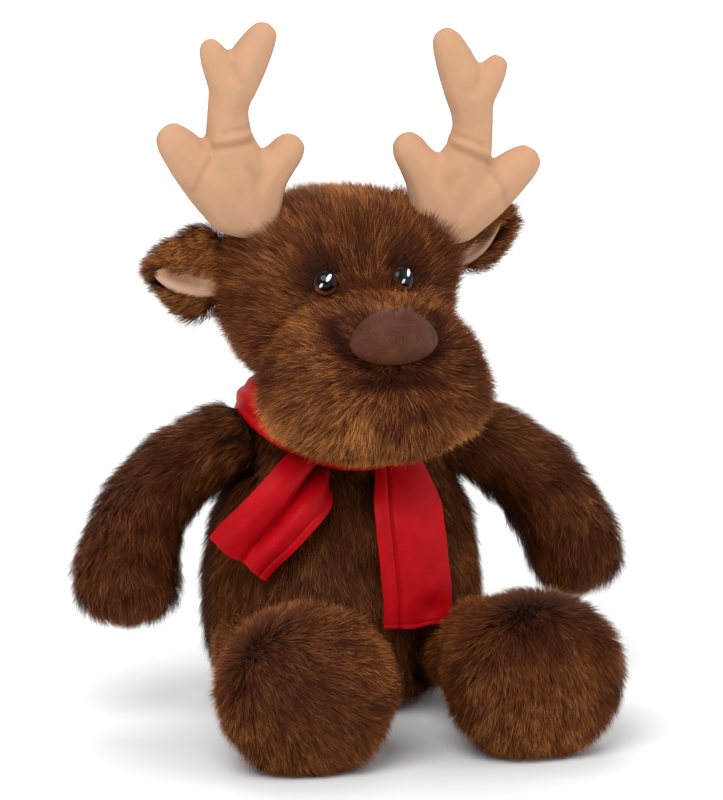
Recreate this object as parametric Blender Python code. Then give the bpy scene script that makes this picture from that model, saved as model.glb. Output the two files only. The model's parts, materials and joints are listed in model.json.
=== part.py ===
"""A sitting plush deer with velour antlers and a satin scarf, as separate sewn pieces.

Metres, +Z up. The deer faces -Y and its own left side is at +X. The origin is the middle
of the flat under the torso. Each furry part is a cloth cover round a fibre filling.
"""

import math

import bmesh
import bpy
from mathutils import Matrix, Vector

# Cloth, seams and clearances
cover_wall = 0.0040
velour_wall = 0.0020
seam_gap = 0.0005
pocket_gap = 0.0008
floor_cut = 0.0005
overrun = 0.0200

# Torso
torso_height = 0.2150
torso_half_width = 0.0900
torso_half_depth = 0.0740
torso_crown_rise = 0.0120

# Head: the skull part and the muzzle sewn to its front
neck_turn_deg = 14.0
skull_rise = 0.0580
skull_half_width = 0.0760
skull_half_depth = 0.0660
skull_half_height = 0.0660
muzzle_drop = 0.0455
muzzle_forward = 0.0830
muzzle_half_width = 0.0750
muzzle_half_depth = 0.0540
muzzle_half_height = 0.0570
skull_fullness = 0.80
skull_taper = 0.04
muzzle_fullness = 0.86
muzzle_taper = 0.10
skull_centre = Vector((0, 0, torso_height + skull_rise))
muzzle_centre = skull_centre - Vector((0, muzzle_forward, muzzle_drop))

# Nose
nose_rise = 0.0365
nose_half_width = 0.0290
nose_half_height = 0.0190
nose_half_depth = 0.0140
nose_sink = 0.0045
nose_fullness = 0.75
nose_taper = -0.10

# Eyes: a domed button with a shank, held by a washer inside the head
eye_above_muzzle = 0.0050
eye_spread = 0.0255
eye_radius = 0.0083
eye_dome = 0.0052
eye_rim = 0.0012
eye_turn_deg = 18.0
eye_lift_deg = 13.0
shank_radius = 0.0022
shank_length = 0.0115
washer_radius = 0.0085
washer_thickness = 0.0016
washer_depth = 0.0062

# Ears
ear_rise_left = 0.0220
ear_rise_right = 0.0120
ear_back_set_left = 0.0090
ear_back_set_right = 0.0050
ear_length = 0.0500
ear_half_height = 0.0230
ear_half_thickness = 0.0072
ear_lining_wall = 0.0030
ear_tilt_left_deg = 21.0
ear_tilt_right_deg = 12.0
ear_root_share = 0.70
ear_sink_left = 0.0002
ear_sink_right = 0.0014

# Antlers
antler_spread = 0.0580
antler_root_height = 0.0420
antler_forward = 0.0140
antler_rise = 0.1450
antler_lean = 0.0260
antler_flatness = 0.80
antler_half_depth = 0.0150
# The left antler droops outwards: how far, as a share of the way out from its inner tip
antler_droop_share = 0.30
antler_inner_share = -0.20
# A branch's rounded tip: how far its last ring and its pole stand out, and the ring's size
tip_ring_share = 0.62
tip_size_share = 0.72
tip_pole_share = 0.92

# Arms
shoulder_spread = 0.0580
shoulder_depth = 0.0310
shoulder_drop_deg = 22.0
shoulder_radius = 0.0235
shoulder_gap = 0.0016
arm_mouth_radius = 0.0155
arm_mouth_depth = 0.0060
arm_reach = 0.0970
arm_fall = 0.1120
arm_forward = 0.0420
arm_half_width = 0.0365
arm_half_depth = 0.0285
arm_twist_right_deg = 8.0
arm_twist_left_deg = 78.0
arm_straight_share = 0.20
arm_swell_share = 1.04
arm_tip_share = 1.012

# Legs and feet
hip_spread = 0.0660
hip_forward = 0.0480
hip_height = 0.0440
hip_radius = 0.0300
hip_gap = 0.0014
leg_passage_radius = 0.0328
leg_swing_deg = 14.0
foot_spread = 0.0790
leg_length = 0.1680
leg_mouth_radius = 0.0140
foot_half_width = 0.0560
foot_half_height = 0.0530
sole_depth = 0.0120

# Tail
tail_height = 0.0520
tail_length = 0.0340
tail_half_width = 0.0160
tail_half_depth = 0.0110
tail_seat = 0.0660
tail_lean_share = 1.10

# Scarf: a folded band of satin round the neck and its two hanging ends
scarf_band_width = 0.0300
scarf_band_thickness = 0.0084
scarf_ring_half_width = 0.0600
scarf_ring_half_depth = 0.0500
scarf_front_depth = 0.0110
scarf_depth = 0.0110
scarf_front_drop = 0.0500
scarf_slope_deg = 40.0
scarf_end_width = 0.0480
scarf_end_thickness = 0.0032
scarf_level_share = 0.55
scarf_neck_share = 0.72

# Facet counts
body_sides = 18
limb_sides = 12
small_sides = 10
tine_sides = 8
body_rings = 10
nose_rings = 7
scarf_steps = 24
scarf_end_rows = 9
socket_sides = 24
dome_rings = 4
hip_rings = 3
sharp_angle_deg = 50
merge_share = 0.02


def clear_scene():
    for item in list(bpy.data.objects):
        bpy.data.objects.remove(item)


def finish(name, colour, roughness, sheen=0.0):
    """A plain material of one piece."""
    material = bpy.data.materials.new(name)
    material.use_nodes = True
    shader = material.node_tree.nodes["Principled BSDF"]
    shader.inputs["Base Color"].default_value = (*colour, 1.0)
    shader.inputs["Roughness"].default_value = roughness
    shader.inputs["Metallic"].default_value = 0.0
    shader.inputs["Sheen Weight"].default_value = sheen
    return material


def new_piece(name, shape, material):
    """An object from a bmesh, smooth with sharp rims."""
    mesh = bpy.data.meshes.new(name)
    shape.to_mesh(mesh)
    shape.free()
    mesh.shade_smooth()
    mesh.set_sharp_from_angle(angle=math.radians(sharp_angle_deg))
    piece = bpy.data.objects.new(name, mesh)
    bpy.context.collection.objects.link(piece)
    if material:
        mesh.materials.append(material)
    return piece


def as_cutter(piece):
    """Keeps a guide or a cutter out of the model."""
    piece.hide_render = True
    piece.display_type = "WIRE"
    return piece


def cutter(name, shape):
    return as_cutter(new_piece(name, shape, None))


def apply_boolean(piece, tool, operation="DIFFERENCE", solver="EXACT"):
    step = piece.modifiers.new(tool.name, "BOOLEAN")
    step.operation = operation
    step.object = tool
    step.solver = solver


def cut(piece, *tools):
    for tool in tools:
        apply_boolean(piece, tool)


def grown(shape_object, amount, name):
    """A guide that copies a form with its surface moved outwards by an amount."""
    shape = bmesh.new()
    shape.from_mesh(shape_object.data)
    shape.normal_update()
    moves = [vert.normal * vert.calc_shell_factor() * amount for vert in shape.verts]
    for vert, move in zip(shape.verts, moves):
        vert.co += move
    return cutter(name, shape)


def ring_frame(place, across, deep):
    """The matrix that takes a unit circle to an ellipse at a place."""
    normal = across.cross(deep).normalized()
    frame = Matrix((across, deep, normal)).transposed().to_4x4()
    frame.translation = place
    return frame


def close_end(shape, edges, pole):
    """Closes a ring with a fan of faces round its pole."""
    cap = bmesh.ops.edgeloop_fill(shape, edges=edges)["faces"]
    centre = bmesh.ops.poke(shape, faces=cap)["verts"][0]
    centre.co = pole


def loft(rings, first_pole, last_pole, sides):
    """A closed swelling form through elliptical rings, each (place, across, deep)."""
    shape = bmesh.new()
    frames = [ring_frame(*ring) for ring in rings]
    bmesh.ops.create_circle(shape, cap_ends=False, segments=sides, radius=1, matrix=frames[0])
    edges = shape.edges[:]
    close_end(shape, edges, first_pole)
    for before, after in zip(frames, frames[1:]):
        made = bmesh.ops.extrude_edge_only(shape, edges=edges)["geom"]
        verts = [item for item in made if isinstance(item, bmesh.types.BMVert)]
        fresh = set(verts)
        edges = [item for item in made if isinstance(item, bmesh.types.BMEdge)
                 and all(vert in fresh for vert in item.verts)]
        bmesh.ops.transform(shape, matrix=after @ before.inverted(), verts=verts)
    close_end(shape, edges, last_pole)
    bmesh.ops.triangulate(shape, faces=shape.faces)
    bmesh.ops.recalc_face_normals(shape, faces=shape.faces)
    return shape


def round_rings(centre, half_width, half_depth, half_height, rings, fullness, taper):
    """Level rings of a stuffed ball; fullness under 1 makes it boxier, taper narrows its top."""
    result = []
    for step in range(1, rings):
        angle = math.pi * step / rings
        level = -math.cos(angle)
        size = math.sin(angle) ** fullness * (1 - taper * level)
        place = centre + Vector((0, 0, half_height * level))
        result.append((place, Vector((half_width * size, 0, 0)),
                       Vector((0, half_depth * size, 0))))
    lift = Vector((0, 0, half_height))
    return result, centre - lift, centre + lift


def front_of(centre, half_width, half_depth, half_height, fullness, taper, x, z):
    """The place on the front of a stuffed ball at a height and a distance from its middle."""
    level = (z - centre.z) / half_height
    size = (1 - level * level) ** (fullness / 2) * (1 - taper * level)
    reach = half_depth * size * math.sqrt(1 - (x / (half_width * size)) ** 2)
    return Vector((centre.x + x, centre.y - reach, z))


def curve_point(points, share):
    """A point at a share of the way along a smooth curve through the points."""
    spans = len(points) - 1
    at = min(share * spans, spans - 1e-9)
    index = int(at)
    part = at - index
    before = points[max(index - 1, 0)]
    start = points[index]
    end = points[index + 1]
    after = points[min(index + 2, spans)]
    return 0.5 * (2 * start + (end - before) * part
                  + (2 * before - 5 * start + 4 * end - after) * part ** 2
                  + (3 * start - before - 3 * end + after) * part ** 3)


def heading(points, share):
    """The way the curve runs at a share of its length."""
    step = 1 / body_sides / 2
    return (curve_point(points, min(share + step, 1))
            - curve_point(points, max(share - step, 0))).normalized()


def box_guide(name, low, high):
    shape = bmesh.new()
    bmesh.ops.create_cube(shape, size=1)
    size = high - low
    bmesh.ops.scale(shape, vec=size, verts=shape.verts)
    bmesh.ops.translate(shape, vec=(low + high) / 2, verts=shape.verts)
    return cutter(name, shape)


def rod_guide(name, start, direction, radius, length, sides):
    """A round bar that starts at a place and runs along a direction."""
    shape = bmesh.new()
    bmesh.ops.create_cone(shape, cap_ends=True, segments=sides, radius1=radius,
                          radius2=radius, depth=length)
    bmesh.ops.translate(shape, vec=(0, 0, length / 2), verts=shape.verts)
    turn = Vector((0, 0, 1)).rotation_difference(direction).to_matrix().to_4x4()
    bmesh.ops.transform(shape, matrix=Matrix.Translation(start) @ turn, verts=shape.verts)
    return cutter(name, shape)


def turned_guide(guide, degrees, name):
    """A guide turned about the neck's upright line."""
    shape = bmesh.new()
    shape.from_mesh(guide.data)
    turn = Matrix.Rotation(math.radians(degrees), 4, "Z")
    bmesh.ops.transform(shape, matrix=turn, verts=shape.verts)
    return cutter(name, shape)


def ball_guide(name, centre, radius, sides):
    shape = bmesh.new()
    bmesh.ops.create_uvsphere(shape, u_segments=sides, v_segments=sides // 2, radius=radius,
                              matrix=Matrix.Translation(centre))
    return cutter(name, shape)


def turned(profile, place, direction, sides):
    """A piece turned from a profile of (radius, height) points."""
    shape = bmesh.new()
    verts = [shape.verts.new((radius, 0, height)) for radius, height in profile]
    edges = [shape.edges.new(pair) for pair in zip(verts, verts[1:])]
    bmesh.ops.spin(shape, geom=verts + edges, cent=(0, 0, 0), axis=(0, 0, 1),
                   angle=math.tau, steps=sides, use_merge=True)
    bmesh.ops.remove_doubles(shape, verts=shape.verts, dist=seam_gap * merge_share)
    bmesh.ops.recalc_face_normals(shape, faces=shape.faces)
    turn = Vector((0, 0, 1)).rotation_difference(direction).to_matrix().to_4x4()
    bmesh.ops.transform(shape, matrix=Matrix.Translation(place) @ turn, verts=shape.verts)
    return shape


def form_copy(name, form, material):
    """A piece with the shape of a guide."""
    piece = bpy.data.objects.new(name, form.data.copy())
    piece.data.materials.append(material)
    bpy.context.collection.objects.link(piece)
    return piece


def filling_of(form, inset, name, material):
    """A filling: a form with its surface moved inwards."""
    filling = grown(form, -inset, name)
    filling.hide_render = False
    filling.display_type = "TEXTURED"
    filling.data.materials.append(material)
    return filling


def ride_on(pieces, pivot):
    """Parents pieces to the empty of a joint without moving them."""
    for piece in pieces:
        piece.parent = pivot
        piece.matrix_parent_inverse = pivot.matrix_world.inverted()


def joint_empty(name, place, axis, parent=None):
    """An empty on a joint's axis, with its own Z along the axis."""
    pivot = bpy.data.objects.new(name, None)
    bpy.context.collection.objects.link(pivot)
    turn = Vector((0, 0, 1)).rotation_difference(axis).to_matrix().to_4x4()
    world = Matrix.Translation(place) @ turn
    if parent:
        pivot.parent = parent
        pivot.matrix_parent_inverse = parent.matrix_world.inverted()
    pivot.matrix_world = world
    bpy.context.view_layer.update()
    return pivot


def side_name(side):
    return "left" if side > 0 else "right"


def torso_form():
    """The pear of the torso: height, width, depth and forward set, as shares."""
    ring_shares = (
        (0.012, 0.46, 0.46, 0.00),
        (0.050, 0.74, 0.75, 0.01),
        (0.140, 0.93, 0.94, 0.05),
        (0.280, 1.00, 1.00, 0.10),
        (0.430, 0.99, 0.98, 0.11),
        (0.580, 0.93, 0.92, 0.09),
        (0.720, 0.785, 0.82, 0.05),
        (0.815, 0.75, 0.70, 0.00),
        (0.885, 0.67, 0.53, -0.04),
        (0.940, 0.58, 0.46, -0.06),
        (1.000, 0.46, 0.42, -0.08),
    )
    rings = []
    for height, width, depth, forward in ring_shares:
        rings.append((Vector((0, -forward * torso_half_depth, height * torso_height)),
                      Vector((width * torso_half_width, 0, 0)),
                      Vector((0, depth * torso_half_depth, 0))))
    low = Vector((0, 0, -floor_cut))
    high = Vector((0, 0, torso_height + torso_crown_rise))
    return cutter("torso_form", loft(rings, low, high, body_sides))


def skull_form():
    rings, low, high = round_rings(skull_centre, skull_half_width, skull_half_depth,
                                   skull_half_height, body_rings, skull_fullness, skull_taper)
    return cutter("skull_form", loft(rings, low, high, body_sides))


def muzzle_form():
    rings, low, high = round_rings(muzzle_centre, muzzle_half_width, muzzle_half_depth,
                                   muzzle_half_height, body_rings, muzzle_fullness,
                                   muzzle_taper)
    return cutter("muzzle_form", loft(rings, low, high, body_sides))


def nose_form():
    front = front_of(muzzle_centre, muzzle_half_width, muzzle_half_depth, muzzle_half_height,
                     muzzle_fullness, muzzle_taper, 0, muzzle_centre.z + nose_rise)
    centre = front + Vector((0, nose_sink, 0))
    rings, low, high = round_rings(centre, nose_half_width, nose_half_depth,
                                   nose_half_height, nose_rings, nose_fullness,
                                   nose_taper)
    return loft(rings, low, high, limb_sides)


def eye_place(side):
    """Where an eye's rim sits on the skull, and the way it looks."""
    eye_height = muzzle_centre.z + muzzle_half_height + eye_above_muzzle
    surface = front_of(skull_centre, skull_half_width, skull_half_depth, skull_half_height,
                       skull_fullness, skull_taper, side * eye_spread, eye_height)
    turn = math.radians(eye_turn_deg) * side
    lift = math.radians(eye_lift_deg)
    look = Vector((math.sin(turn) * math.cos(lift), -math.cos(turn) * math.cos(lift),
                   math.sin(lift)))
    return surface, look


def eye_button(side, material):
    surface, look = eye_place(side)
    profile = [(shank_radius, -shank_length), (shank_radius, 0), (eye_radius, 0),
               (eye_radius, eye_rim)]
    for step in range(1, dome_rings):
        angle = math.pi / 2 * step / dome_rings
        profile.append((eye_radius * math.cos(angle), eye_rim + eye_dome * math.sin(angle)))
    profile = [(0, -shank_length)] + profile + [(0, eye_rim + eye_dome)]
    shape = turned(profile, surface + look * seam_gap, look, limb_sides)
    return new_piece("eye_" + side_name(side), shape, material)


def eye_washer(side, material):
    surface, look = eye_place(side)
    bore = shank_radius + seam_gap
    profile = [(bore, 0), (washer_radius, 0), (washer_radius, washer_thickness),
               (bore, washer_thickness), (bore, 0)]
    shape = turned(profile, surface - look * (washer_depth + washer_thickness), look,
                   limb_sides)
    return new_piece("eye_washer_" + side_name(side), shape, material)


def eye_cutters(side):
    """The shank's hole in the cover and the washer's pocket in the filling."""
    surface, look = eye_place(side)
    hole = rod_guide("shank_hole_" + side_name(side), surface + look * overrun, -look,
                     shank_radius + seam_gap, overrun + shank_length + seam_gap, small_sides)
    pocket_length = shank_length + pocket_gap
    pocket = rod_guide("washer_pocket_" + side_name(side), surface, -look,
                       washer_radius + pocket_gap, pocket_length, limb_sides)
    return hole, pocket


def ear_frame(side):
    """The ear's root on the side of the skull: its place, outward way and hinge line."""
    tilt = math.radians(ear_tilt_left_deg if side > 0 else ear_tilt_right_deg)
    rise = ear_rise_left if side > 0 else ear_rise_right
    back_set = ear_back_set_left if side > 0 else ear_back_set_right
    out = Vector((side * math.cos(tilt), 0, math.sin(tilt)))
    line = Vector((-side * math.sin(tilt), 0, math.cos(tilt)))
    level = rise / skull_half_height
    size = (1 - level * level) ** (skull_fullness / 2) * (1 - skull_taper * level)
    shade = math.sqrt(1 - (back_set / (skull_half_depth * size)) ** 2)
    root = Vector((side * skull_half_width * size * shade, back_set, skull_centre.z + rise))
    return root, out, line


def ear_pivot(side):
    root, out, line = ear_frame(side)
    sink = ear_sink_left if side > 0 else ear_sink_right
    return root + out * (ear_half_thickness * ear_root_share - sink)


def ear_form(side):
    """A leaf-shaped ear: distance out, half height and half thickness, as shares."""
    ring_shares = (
        (-0.060, 0.42, 0.45),
        (0.040, 0.55, 0.70),
        (0.200, 0.82, 0.95),
        (0.400, 1.00, 1.00),
        (0.600, 0.95, 0.90),
        (0.780, 0.74, 0.75),
        (0.920, 0.44, 0.52),
    )
    _, out, line = ear_frame(side)
    pivot = ear_pivot(side)
    back = Vector((0, 1, 0))
    rings = []
    for distance, height, thickness in ring_shares:
        rings.append((pivot + out * (distance * ear_length),
                      line * (height * ear_half_height),
                      back * (thickness * ear_half_thickness)))
    low = pivot - out * (ear_half_thickness * ear_root_share)
    high = pivot + out * ear_length
    return cutter("ear_form_" + side_name(side), loft(rings, low, high, limb_sides))


def ear_pieces(side, fur, lining):
    """The ear's furry back and its velour lining, parted by a level plane."""
    form = ear_form(side)
    pivot = ear_pivot(side)
    split = pivot.y - ear_half_thickness + ear_lining_wall
    far = Vector((1, 1, 1)) * (ear_length + ear_half_height + overrun)
    front_box = box_guide("ear_front_" + side_name(side),
                          pivot - far, Vector((pivot.x + far.x, split + seam_gap,
                                               pivot.z + far.z)))
    lining_box = box_guide("ear_lining_box_" + side_name(side),
                           pivot - far, Vector((pivot.x + far.x, split, pivot.z + far.z)))
    back = form_copy("ear_back_" + side_name(side), form, fur)
    front = form_copy("ear_lining_" + side_name(side), form, lining)
    cut(back, front_box)
    apply_boolean(front, lining_box, "INTERSECT")
    return [back, front]


# Each antler branch: the places along it as shares of the antler's rise, out and up from
# its root, and the half widths there
tine_shares = {
    "stem": (((-0.040, -0.205), (0.010, 0.0), (0.075, 0.205), (0.150, 0.415),
              (0.174, 0.560), (0.156, 0.720)),
             (0.110, 0.125, 0.165, 0.125, 0.098, 0.112)),
    "outer_tine": (((0.040, 0.0), (0.170, 0.180), (0.300, 0.330), (0.420, 0.470)),
                   (0.100, 0.130, 0.120, 0.090)),
    "inner_tine": (((0.020, 0.100), (0.0, 0.250), (-0.090, 0.360), (-0.120, 0.400)),
                   (0.120, 0.120, 0.090, 0.085)),
    "tall_tine": (((0.150, 0.700), (0.085, 0.830), (0.030, 0.935)), (0.110, 0.100, 0.076)),
    "short_tine": (((0.175, 0.720), (0.235, 0.820), (0.266, 0.885)), (0.100, 0.078, 0.060)),
}


def tine_form(side, branch, inset, name):
    """One stuffed branch of an antler, flattened from front to back."""
    points, widths = tine_shares[branch]
    root = skull_centre + Vector((side * antler_spread, -antler_forward, antler_root_height))
    droop = antler_droop_share if side > 0 else 0
    path = []
    for out, up in points:
        level = up - droop * (out - antler_inner_share)
        path.append(root + Vector((side * out * antler_rise, -up * antler_lean,
                                   level * antler_rise)))
    rings = []
    steps = len(points) + 1
    for step in range(steps):
        share = step / (steps - 1)
        place = curve_point(path, share)
        ahead = heading(path, share)
        width = curve_point([Vector((size, 0, 0)) for size in widths], share).x
        half = width * antler_rise
        deep = min(half * antler_flatness, antler_half_depth)
        across = Vector((0, 1, 0)).cross(ahead).normalized()
        rings.append((place, across * (half - inset), ahead.cross(across) * (deep - inset)))
    start_way = (rings[0][0] - rings[1][0]).normalized()
    end_way = (rings[-1][0] - rings[-2][0]).normalized()
    start_half = rings[0][1].length
    end_half = rings[-1][1].length
    first = (rings[0][0] + start_way * start_half * tip_ring_share,
             rings[0][1] * tip_size_share, rings[0][2] * tip_size_share)
    last = (rings[-1][0] + end_way * end_half * tip_ring_share,
            rings[-1][1] * tip_size_share, rings[-1][2] * tip_size_share)
    low = rings[0][0] + start_way * start_half * tip_pole_share
    high = rings[-1][0] + end_way * end_half * tip_pole_share
    return new_piece(name, loft([first] + rings + [last], low, high, tine_sides), None)


def antler_pieces(side, velour, fibre, skull_guard):
    """An antler's velour cover and the filling inside it, seated on the skull."""
    label = side_name(side)
    branches = list(tine_shares)
    pieces = []
    for part, inset, material in (("antler_cover_", 0.0, velour),
                                  ("antler_filling_", velour_wall + seam_gap, fibre)):
        body = tine_form(side, branches[0], inset, part + label)
        body.data.materials.append(material)
        for branch in branches[1:]:
            limb = as_cutter(tine_form(side, branch, inset, part + branch + "_" + label))
            apply_boolean(body, limb, "UNION", "MANIFOLD")
        pieces.append(body)
    for branch in branches:
        hollow = as_cutter(tine_form(side, branch, velour_wall,
                                     "antler_hollow_" + branch + "_" + label))
        apply_boolean(pieces[0], hollow, "DIFFERENCE", "MANIFOLD")
    for piece in pieces:
        apply_boolean(piece, skull_guard, "DIFFERENCE", "MANIFOLD")
    return pieces


def arm_axis(side):
    drop = math.radians(shoulder_drop_deg)
    return Vector((side * math.cos(drop), 0, -math.sin(drop)))


def shoulder_place(side):
    return Vector((side * shoulder_spread, 0, torso_height - shoulder_depth))


def arm_form(side):
    """An arm: a round root square to the shoulder seam, then a bend down to the paw."""
    root = shoulder_place(side)
    axis = arm_axis(side)
    twist = math.radians(arm_twist_left_deg if side > 0 else arm_twist_right_deg)
    # The path as shares of the arm's reach, forward set and fall, with the half sizes there
    path_shares = ((0.515, 0.050, 0.200), (0.760, 0.200, 0.385), (0.900, 0.450, 0.580),
                   (0.970, 0.700, 0.740), (1.000, 0.900, 0.885), (1.010, 0.980, 0.965))
    size_shares = ((0.720, 0.920), (0.760, 0.980), (0.860, 1.000), (0.970, 1.000),
                   (0.900, 0.900), (0.620, 0.620))
    places = [root, root + axis * (arm_straight_share * arm_reach)]
    for out, forward, fall in path_shares:
        places.append(root + Vector((side * out * arm_reach, -forward * arm_forward,
                                     -fall * arm_fall)))
    end = root + Vector((side * arm_tip_share * arm_reach, -arm_forward, -arm_fall))
    swell = shoulder_radius * arm_swell_share
    sizes = [(shoulder_radius, shoulder_radius), (swell, swell)]
    sizes += [(wide * arm_half_width, deep * arm_half_depth) for wide, deep in size_shares]
    rings = []
    for index, place in enumerate(places):
        if index < 2:
            ahead = axis
        else:
            after = places[index + 1] if index + 1 < len(places) else end
            ahead = (after - places[index - 1]).normalized()
        base = Vector((0, 1, 0)).cross(ahead).normalized()
        turn = Matrix.Rotation(twist * side, 3, ahead)
        across = turn @ base
        deep = ahead.cross(across)
        wide_size, deep_size = sizes[index]
        rings.append((place, across * wide_size, deep * deep_size))
    return cutter("arm_form_" + side_name(side), loft(rings, root, end, limb_sides))


def limb_pieces(label, form, wall, cover_material, fibre):
    """A cover with its hollow cut out, and the filling that fits the hollow."""
    hollow = grown(form, -wall, label + "_hollow")
    cover = form_copy(label, form, cover_material)
    cut(cover, hollow)
    filling = filling_of(form, wall + seam_gap, label.replace("cover", "filling"), fibre)
    return cover, filling


def hip_place(side):
    return Vector((side * hip_spread, -hip_forward, hip_height))


def leg_way(side):
    """The way a leg runs from its hip to the middle of its sole."""
    rise = foot_half_height - floor_cut - hip_height
    out = side * (foot_spread - hip_spread)
    ahead = math.sqrt(leg_length ** 2 - rise ** 2 - out ** 2)
    return Vector((out, -ahead, rise)).normalized()


def leg_form(side):
    """A leg from its ball root to the broad round foot, as shares of length and foot."""
    size_shares = ((0.100, 1.000, 1.000), (0.210, 0.545, 0.545), (0.360, 0.590, 0.600),
                   (0.500, 0.650, 0.660), (0.600, 0.770, 0.780), (0.680, 0.910, 0.910),
                   (0.770, 0.985, 0.985), (0.870, 1.000, 1.000), (0.940, 0.920, 0.920),
                   (0.985, 0.700, 0.700))
    hip = hip_place(side)
    way = leg_way(side)
    across = Vector((0, 0, 1)).cross(way).normalized()
    deep = way.cross(across)
    rings = []
    for step in range(1, hip_rings + 1):
        angle = math.pi / 2 * step / hip_rings
        size = hip_radius * math.sin(angle)
        rings.append((hip - way * hip_radius * math.cos(angle), across * size, deep * size))
    for along, wide, high in size_shares:
        wide_size = wide * foot_half_width
        high_size = high * foot_half_height
        if along * leg_length < hip_radius:
            wide_size = high_size = math.sqrt(hip_radius ** 2 - (along * leg_length) ** 2)
        rings.append((hip + way * (along * leg_length), across * wide_size,
                      deep * high_size))
    low = hip - way * hip_radius
    high = hip + way * leg_length
    return cutter("leg_form_" + side_name(side), loft(rings, low, high, limb_sides))


def tail_piece(material, torso_guard):
    """A short flat tail that hangs from the back seam."""
    root = Vector((0, tail_seat, tail_height))
    rings = []
    top = root + Vector((0, 0, tail_length / 2))
    fall = Vector((0, tail_half_depth * tail_lean_share, -tail_length))
    size_shares = ((0.10, 0.62), (0.32, 0.92), (0.55, 1.00), (0.78, 0.80), (0.93, 0.45))
    for share, size in size_shares:
        rings.append((top + fall * share, Vector((tail_half_width * size, 0, 0)),
                      Vector((0, tail_half_depth * size, 0))))
    tail = new_piece("tail", loft(rings, top, top + fall, small_sides), material)
    cut(tail, torso_guard)
    return tail


def scarf_band():
    """The gathered band round the neck: high behind, dipping under the chin."""
    shape = bmesh.new()
    slope = math.radians(scarf_slope_deg)
    loops = []
    for step in range(scarf_steps):
        angle = math.tau * step / scarf_steps
        facing = max(-math.cos(angle), 0)
        out = Vector((math.sin(angle), math.cos(angle), 0))
        place = Vector((scarf_ring_half_width * out.x, scarf_ring_half_depth * out.y,
                        torso_height - scarf_depth))
        place.y -= scarf_front_depth * facing ** 2
        place.z -= scarf_front_drop * facing
        lean = slope * (1 - scarf_level_share * facing)
        down = (out * math.sin(lean) - Vector((0, 0, 1)) * math.cos(lean)).normalized()
        thick = (out * math.cos(lean) + Vector((0, 0, 1)) * math.sin(lean)).normalized()
        frame = ring_frame(place, down * (scarf_band_width / 2),
                           thick * (scarf_band_thickness / 2))
        made = bmesh.ops.create_circle(shape, cap_ends=False, segments=tine_sides,
                                       radius=1, matrix=frame)["verts"]
        loops.append(made)
    for before, after in zip(loops, loops[1:] + loops[:1]):
        for index in range(tine_sides):
            following = (index + 1) % tine_sides
            shape.faces.new((before[index], before[following], after[following],
                             after[index]))
    bmesh.ops.recalc_face_normals(shape, faces=shape.faces)
    return shape


# Each hanging end: its middle line as shares of the torso's half width, half depth and
# height, and the turn of the cloth across it
scarf_end_shares = {
    "left": (((0.060, 0.850, 0.755), (0.120, 1.060, 0.690), (0.190, 1.160, 0.600),
              (0.240, 1.230, 0.480), (0.268, 1.270, 0.390), (0.275, 1.280, 0.312)), 8.0),
    "right": (((-0.330, 0.700, 0.765), (-0.450, 0.950, 0.760), (-0.620, 1.080, 0.705),
               (-0.800, 1.060, 0.630), (-0.910, 0.980, 0.575), (-0.985, 0.930, 0.535)), -14.0),
}


def scarf_end(side):
    """One hanging end of the scarf: a strip with a soft fold down its length."""
    points, turn_deg = scarf_end_shares[side_name(side)]
    path = [Vector((out * torso_half_width, -ahead * torso_half_depth, up * torso_height))
            for out, ahead, up in points]
    # Places across the cloth and how far they stand forward, as shares of its width
    fold_shares = ((-0.50, 0.02), (-0.30, 0.085), (-0.12, 0.02), (0.12, 0.055), (0.32, 0.0),
                   (0.50, 0.05))
    turn = math.radians(turn_deg)
    shape = bmesh.new()
    rows = []
    for step in range(scarf_end_rows):
        share = step / (scarf_end_rows - 1)
        place = curve_point(path, share)
        ahead = heading(path, share)
        face = Vector((math.sin(turn), -math.cos(turn), 0))
        across = ahead.cross(face).normalized()
        face = across.cross(ahead).normalized()
        spread = min(share * 2, 1)
        width = scarf_end_width * (scarf_neck_share + (1 - scarf_neck_share) * spread)
        row = [shape.verts.new(place + across * (over * width) + face * (up * width))
               for over, up in fold_shares]
        rows.append(row)
    for before, after in zip(rows, rows[1:]):
        for index in range(len(before) - 1):
            shape.faces.new((before[index], before[index + 1], after[index + 1],
                             after[index]))
    bmesh.ops.recalc_face_normals(shape, faces=shape.faces)
    bmesh.ops.solidify(shape, geom=shape.faces[:], thickness=scarf_end_thickness)
    bmesh.ops.recalc_face_normals(shape, faces=shape.faces)
    return new_piece("scarf_end_" + side_name(side), shape, None)


def scarf_piece(material, neighbours):
    """The scarf as one strip: its neck band joined to both hanging ends."""
    scarf = new_piece("scarf", scarf_band(), material)
    for side in (1, -1):
        apply_boolean(scarf, as_cutter(scarf_end(side)), "UNION", "MANIFOLD")
    for guard in neighbours:
        apply_boolean(scarf, guard, "DIFFERENCE", "MANIFOLD")
    return scarf


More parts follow.
